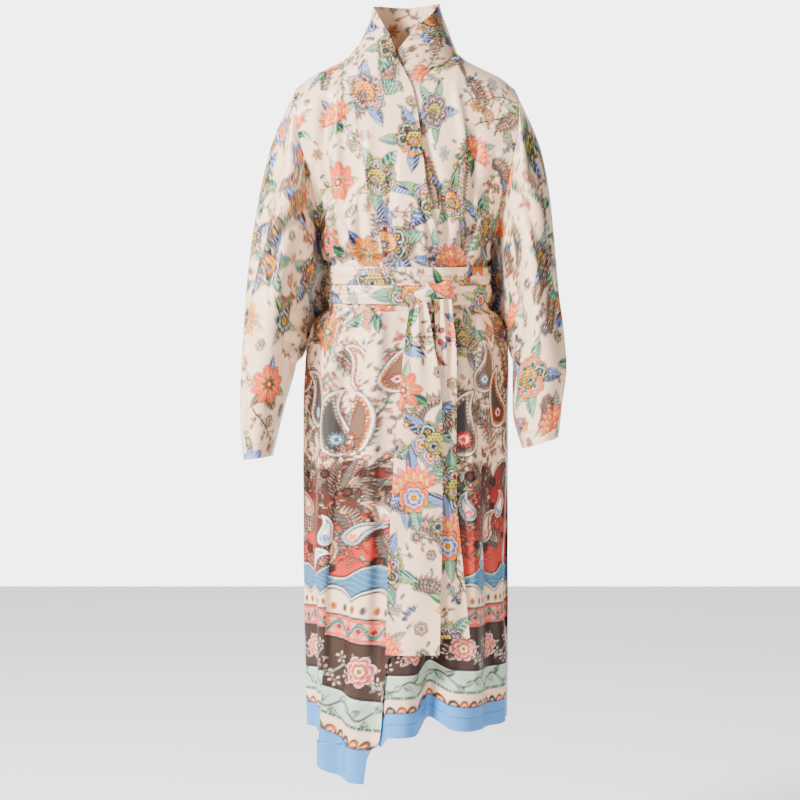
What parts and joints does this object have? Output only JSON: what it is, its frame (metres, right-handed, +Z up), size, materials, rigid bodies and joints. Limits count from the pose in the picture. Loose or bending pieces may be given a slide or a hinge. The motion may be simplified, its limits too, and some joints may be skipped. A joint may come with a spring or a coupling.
{
  "type": "yukata",
  "caption": "Light wrap-front robe with wide sleeves, a standing neckband and a tied sash, hollow and shaped as worn.",
  "frame": {"origin": "midway between the shoulders, level with the shoulder line, at the middle of the body's depth, where the wearer's shoulders hold the robe", "axes": "+Z up, -Y out of the front, +X to the wearer's left"},
  "size_m": [0.5465, 0.2849, 1.3092],
  "materials": {
    "body_cloth": "satin, printed",
    "band_cloth": "satin, printed",
    "sleeve_cloth": "satin, printed",
    "sash_cloth": "satin, printed"
  },
  "bodies": {
    "root": {"back": "body_cloth", "front_right_over": "body_cloth", "front_left_under": "body_cloth", "neckband": "band_cloth", "sleeve_right": "sleeve_cloth", "sleeve_left": "sleeve_cloth", "sash_upper_winding": "sash_cloth", "sash_lower_winding": "sash_cloth", "sash_knot": "sash_cloth", "sash_end_right": "sash_cloth", "sash_end_left": "sash_cloth"}
  },
  "joints": []
}
